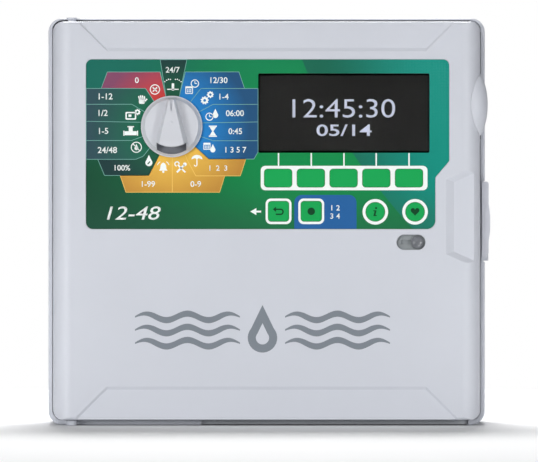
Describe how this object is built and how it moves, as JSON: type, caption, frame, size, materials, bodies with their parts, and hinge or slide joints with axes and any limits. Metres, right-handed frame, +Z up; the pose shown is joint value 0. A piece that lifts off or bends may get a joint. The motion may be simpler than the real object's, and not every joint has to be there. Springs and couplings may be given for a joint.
{
  "type": "irrigation controller",
  "caption": "Wall-mounted irrigation controller: cabinet with hinged control door, setting dial, display, keys, side latch, station modules and transformer.",
  "frame": {"origin": "centre of the cabinet's back face, where it meets the wall", "axes": "+Y out of the back into the wall, so the front faces -Y; +Z up; +X to the right seen from the front"},
  "size_m": [0.3541, 0.14, 0.326],
  "materials": {
    "housing_grey": "fine satin",
    "entry_grey": "satin",
    "overlay_print": "printed film",
    "window_clear": "gloss",
    "display_black": "gloss",
    "bezel_black": "matte",
    "key_green": "soft satin",
    "knob_grey": "satin",
    "latch_grey": "satin",
    "slider_grey": "satin",
    "steel": "plated",
    "board_green": "solder resist",
    "parts_black": "matte",
    "module_grey": "textured",
    "lever_green": "satin",
    "terminal_green": "satin",
    "cover_grey": "textured",
    "core_steel": "varnished laminations",
    "winding_tape": "taped copper coil",
    "brass": "machined",
    "silicone": "translucent",
    "foam_black": "closed-cell foam",
    "ribbon_grey": "ribbed"
  },
  "bodies": {
    "cabinet": {"cabinet_back": "housing_grey", "cabinet_walls": "housing_grey", "gasket_frame": "housing_grey", "cable_entry_plate": "entry_grey", "entry_blank": "entry_grey", "pivot_pins": "steel", "latch_spring": "steel", "module_tray": "cover_grey", "backplane_board": "board_green", "backplane_sockets": "parts_black", "base_module": "module_grey", "station_modules": "module_grey", "module_boards": "board_green", "module_terminals": "terminal_green", "mains_block": "parts_black", "terminal_screws": "steel", "earth_bar": "brass", "cabinet_screws": "steel", "transformer_core": "core_steel", "transformer_winding": "winding_tape", "transformer_bracket": "steel", "mains_cover": "cover_grey", "ribbon_cable": "ribbon_grey"},
    "door": {"door_shell": "housing_grey", "door_posts": "housing_grey", "door_knuckle": "housing_grey", "front_overlay": "overlay_print", "display_window": "window_clear", "display_bezel": "bezel_black", "display_module": "display_black", "main_board": "board_green", "board_parts": "parts_black", "cell_holder": "parts_black", "coin_cell": "steel", "keypad_mat": "silicone", "encoder_body": "steel", "slide_switch": "steel", "back_cover": "cover_grey", "door_screws": "steel", "door_gasket": "foam_black", "door_catch": "steel", "catch_rivets": "steel"},
    "dial": {"dial_knob": "knob_grey", "dial_shaft": "steel"},
    "bypass_slider": {"bypass_slider": "slider_grey"},
    "latch": {"latch_paddle": "latch_grey", "latch_nose": "latch_grey"},
    "softkey_1": {"softkey_1": "key_green"},
    "softkey_2": {"softkey_2": "key_green"},
    "softkey_3": {"softkey_3": "key_green"},
    "softkey_4": {"softkey_4": "key_green"},
    "softkey_5": {"softkey_5": "key_green"},
    "back_key": {"back_key": "key_green"},
    "program_key": {"program_key": "key_green"},
    "info_key": {"info_key": "key_green"},
    "favourite_key": {"favourite_key": "key_green"},
    "module_lever_1": {"module_lever_1": "lever_green"},
    "module_lever_2": {"module_lever_2": "lever_green"},
    "module_lever_3": {"module_lever_3": "lever_green"},
    "module_lever_4": {"module_lever_4": "lever_green"}
  },
  "joints": [
    {"name": "door_swing", "type": "hinge", "parent": "cabinet", "child": "door", "pos_m": [-0.156, -0.107, 0], "axis": [0, 0, -1], "range_deg": [0, 120], "deforming": ["ribbon_cable", "door_catch"]},
    {"name": "latch_pull", "type": "hinge", "parent": "cabinet", "child": "latch", "pos_m": [0.1766, -0.07, 0], "axis": [0, 0, 1], "range_deg": [0, 15], "stiffness_Nm_per_rad": 0.4, "deforming": ["latch_spring"]},
    {"name": "dial_turn", "type": "hinge", "parent": "door", "child": "dial", "pos_m": [-0.0757, -0.122, 0.0757], "axis": [0, 1, 0], "continuous": true},
    {"name": "bypass_slide", "type": "slide", "parent": "door", "child": "bypass_slider", "axis": [-1, 0, 0], "range_m": [0, 0.0103]},
    {"name": "softkey_1_press", "type": "slide", "parent": "door", "child": "softkey_1", "axis": [0, 1, 0], "range_m": [0, 0.0012], "stiffness_N_per_m": 800, "deforming": ["keypad_mat"]},
    {"name": "softkey_2_press", "type": "slide", "parent": "door", "child": "softkey_2", "axis": [0, 1, 0], "range_m": [0, 0.0012], "stiffness_N_per_m": 800, "deforming": ["keypad_mat"]},
    {"name": "softkey_3_press", "type": "slide", "parent": "door", "child": "softkey_3", "axis": [0, 1, 0], "range_m": [0, 0.0012], "stiffness_N_per_m": 800, "deforming": ["keypad_mat"]},
    {"name": "softkey_4_press", "type": "slide", "parent": "door", "child": "softkey_4", "axis": [0, 1, 0], "range_m": [0, 0.0012], "stiffness_N_per_m": 800, "deforming": ["keypad_mat"]},
    {"name": "softkey_5_press", "type": "slide", "parent": "door", "child": "softkey_5", "axis": [0, 1, 0], "range_m": [0, 0.0012], "stiffness_N_per_m": 800, "deforming": ["keypad_mat"]},
    {"name": "back_key_press", "type": "slide", "parent": "door", "child": "back_key", "axis": [0, 1, 0], "range_m": [0, 0.0012], "stiffness_N_per_m": 800, "deforming": ["keypad_mat"]},
    {"name": "program_key_press", "type": "slide", "parent": "door", "child": "program_key", "axis": [0, 1, 0], "range_m": [0, 0.0012], "stiffness_N_per_m": 800, "deforming": ["keypad_mat"]},
    {"name": "info_key_press", "type": "slide", "parent": "door", "child": "info_key", "axis": [0, 1, 0], "range_m": [0, 0.0012], "stiffness_N_per_m": 800, "deforming": ["keypad_mat"]},
    {"name": "favourite_key_press", "type": "slide", "parent": "door", "child": "favourite_key", "axis": [0, 1, 0], "range_m": [0, 0.0012], "stiffness_N_per_m": 800, "deforming": ["keypad_mat"]},
    {"name": "module_lever_1_turn", "type": "hinge", "parent": "cabinet", "child": "module_lever_1", "pos_m": [-0.079, -0.056, 0.112], "axis": [0, 1, 0], "range_deg": [0, 90]},
    {"name": "module_lever_2_turn", "type": "hinge", "parent": "cabinet", "child": "module_lever_2", "pos_m": [-0.017, -0.056, 0.112], "axis": [0, 1, 0], "range_deg": [0, 90]},
    {"name": "module_lever_3_turn", "type": "hinge", "parent": "cabinet", "child": "module_lever_3", "pos_m": [0.045, -0.056, 0.112], "axis": [0, 1, 0], "range_deg": [0, 90]},
    {"name": "module_lever_4_turn", "type": "hinge", "parent": "cabinet", "child": "module_lever_4", "pos_m": [0.107, -0.056, 0.112], "axis": [0, 1, 0], "range_deg": [0, 90]}
  ]
}
